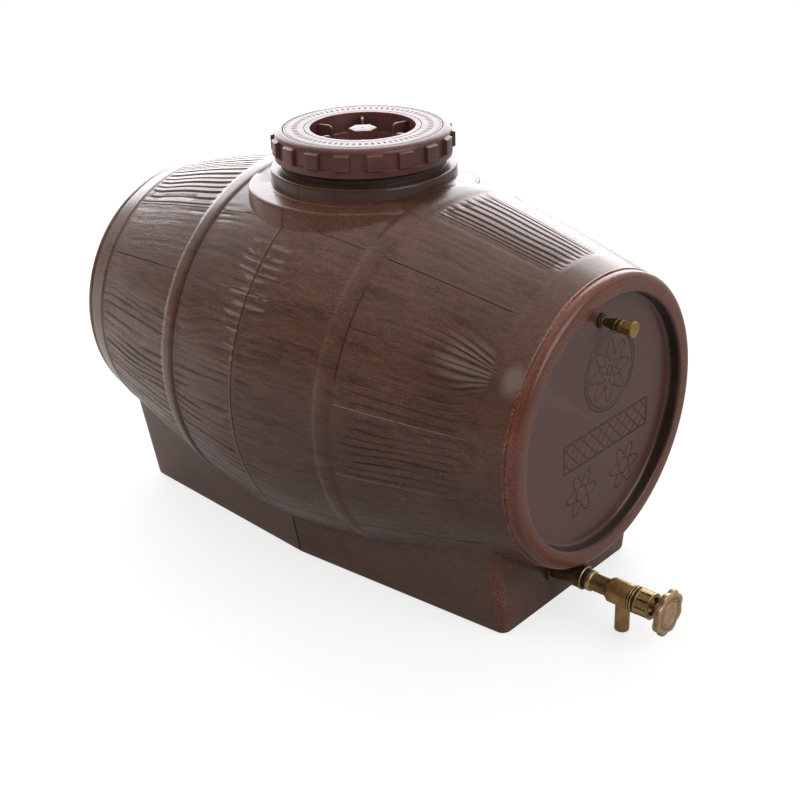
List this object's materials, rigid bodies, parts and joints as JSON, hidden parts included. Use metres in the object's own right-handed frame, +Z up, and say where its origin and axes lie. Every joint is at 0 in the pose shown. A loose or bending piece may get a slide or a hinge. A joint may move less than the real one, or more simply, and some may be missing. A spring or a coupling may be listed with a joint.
{
  "type": "plastic wine barrel",
  "caption": "Moulded plastic wine barrel lying on a hollow foot, with stave and hoop relief, a wide screw lid on the neck, a screw-capped air vent and a brass tap with a lobed handwheel.",
  "frame": {"origin": "middle of the foot's flat underside, under the neck", "axes": "+X along the barrel's axis toward the tap, +Z up through the neck, +Y to the left when looking along +X"},
  "size_m": [0.6927, 0.4026, 0.4371],
  "materials": {
    "brown_plastic": "satin brown polyethylene with a wood-grain relief",
    "lid_plastic": "smooth reddish-brown plastic",
    "brass": "bronzed brass, satin",
    "black_rubber": "matte black",
    "screw_steel": "plain steel"
  },
  "bodies": {
    "barrel": {"barrel_shell": "brown_plastic", "vent_body": "brass", "vent_outer_washer": "black_rubber", "vent_inner_washer": "black_rubber", "vent_lock_nut": "brass", "tap_bulkhead_socket": "brass", "tap_outer_washer": "black_rubber", "tap_inner_washer": "black_rubber", "tap_lock_nut": "brass", "tap_inlet_seal": "black_rubber", "tap_body": "brass", "tap_bonnet_seal": "black_rubber", "tap_bonnet": "brass", "tap_packing": "black_rubber", "tap_gland_nut": "brass"},
    "lid": {"lid_disc": "lid_plastic", "lid_gasket": "black_rubber"},
    "lid_ring": {"lid_ring_nut": "lid_plastic"},
    "valve": {"tap_valve_disc": "brass", "tap_valve_washer": "black_rubber"},
    "handwheel": {"tap_spindle": "brass", "tap_handwheel": "brass", "tap_handwheel_screw": "screw_steel", "tap_handwheel_cap": "brass"},
    "vent_seal": {"vent_cap_seal": "black_rubber"},
    "vent_screw": {"vent_cap": "brass"}
  },
  "joints": [
    {"name": "lid_lift", "type": "slide", "parent": "barrel", "child": "lid", "axis": [0, 0, 1], "range_m": [0, 0.024]},
    {"name": "ring_turn", "type": "hinge", "parent": "lid", "child": "lid_ring", "pos_m": [0, 0, 0.4225], "axis": [0, 0, 1], "range_deg": [0, 1080]},
    {"name": "valve_travel", "type": "slide", "parent": "barrel", "child": "valve", "axis": [1, 0, 0], "range_m": [0, 0.0045]},
    {"name": "handwheel_turn", "type": "hinge", "parent": "valve", "child": "handwheel", "pos_m": [0.3847, -0.0235, 0.0415], "axis": [1, 0, 0], "range_deg": [0, 1080]},
    {"name": "vent_travel", "type": "slide", "parent": "barrel", "child": "vent_seal", "axis": [1, 0, 0], "range_m": [0, 0.008]},
    {"name": "vent_cap_turn", "type": "hinge", "parent": "vent_seal", "child": "vent_screw", "pos_m": [0.316, 0, 0.3023], "axis": [1, 0, 0], "range_deg": [0, 2880]}
  ],
  "couplings": [
    {"joint": "lid_lift", "follows": "ring_turn", "m_per_rad": 0.0012732},
    {"joint": "valve_travel", "follows": "handwheel_turn", "m_per_rad": 0.00023873},
    {"joint": "vent_travel", "follows": "vent_cap_turn", "m_per_rad": 0.00015915}
  ]
}
